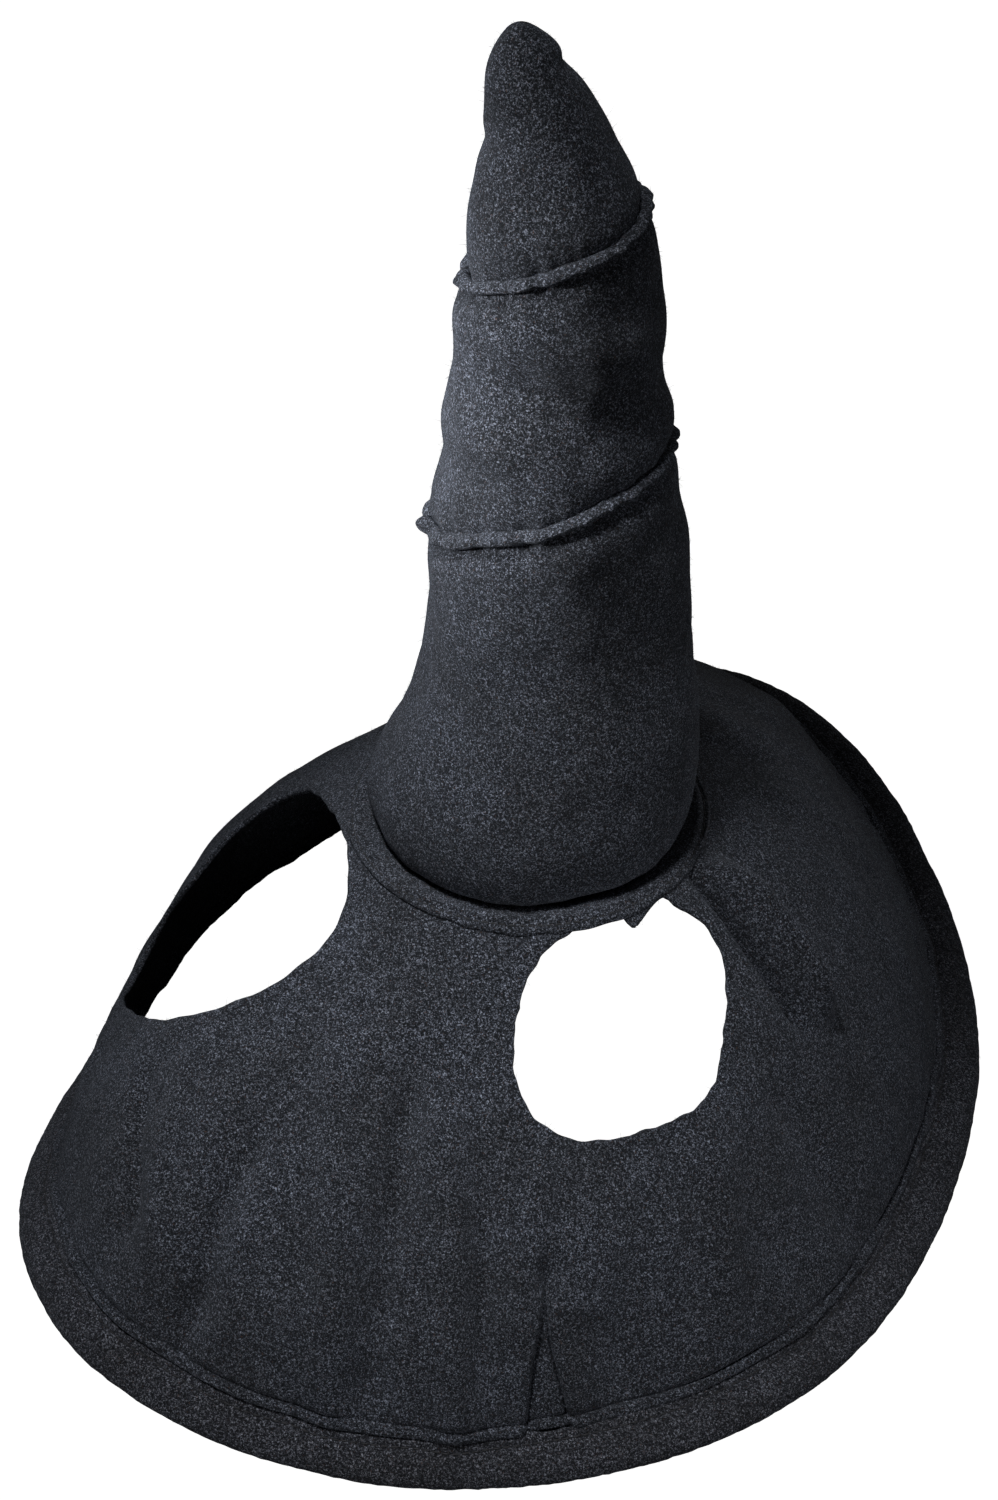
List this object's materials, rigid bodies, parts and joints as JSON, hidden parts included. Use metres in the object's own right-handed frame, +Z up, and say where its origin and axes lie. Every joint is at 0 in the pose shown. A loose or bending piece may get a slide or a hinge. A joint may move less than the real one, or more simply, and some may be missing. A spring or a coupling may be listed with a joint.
{
  "type": "witch hat",
  "caption": "Black felt witch hat with a tall stuffed crown pinched into a crooked lean by stitched tucks, and a drooping wired brim with ear holes for an animal.",
  "frame": {"origin": "centre of the head seat, on the underside of the felt disc that closes the crown; the crown's base seam is centred above it and the rim hangs below it", "axes": "+Z up along the crown, -Y the hat's front, between the two ear holes, +X the side that the tucks rise towards"},
  "size_m": [0.4122, 0.5321, 0.5349],
  "materials": {
    "brim_felt": "matte",
    "hem_felt": "matte",
    "crown_felt": "matte",
    "thread": "matte",
    "stuffing": "matte",
    "steel": "satin"
  },
  "bodies": {
    "brim_and_lower_crown": {"brim_panel": "brim_felt", "rim_binding": "hem_felt", "rim_wire": "steel", "wire_joiner": "steel", "hem_stitching": "thread", "crown_collar": "crown_felt", "collar_stitching": "thread", "base_disc": "crown_felt", "crown_lower": "crown_felt", "stuffing_lower": "stuffing", "lower_tuck": "crown_felt", "lower_tuck_thread": "thread"},
    "middle_crown": {"crown_middle": "crown_felt", "stuffing_middle": "stuffing", "upper_tuck": "crown_felt", "upper_tuck_thread": "thread"},
    "top_crown": {"crown_tip": "crown_felt", "stuffing_tip": "stuffing"}
  },
  "joints": [
    {"name": "lower_tuck_bend", "type": "hinge", "parent": "brim_and_lower_crown", "child": "middle_crown", "pos_m": [0.01039, 0.006, 0.1765], "axis": [-0.1736, 0.9848, 0], "range_deg": [-12, 12], "stiffness_Nm_per_rad": 1.5, "deforming": ["lower_tuck", "lower_tuck_thread"]},
    {"name": "upper_tuck_bend", "type": "hinge", "parent": "middle_crown", "child": "top_crown", "pos_m": [0.00909, 0.00525, 0.2835], "axis": [-0.5, 0.866, 0], "range_deg": [-16, 16], "stiffness_Nm_per_rad": 0.2, "deforming": ["upper_tuck", "upper_tuck_thread"]}
  ]
}
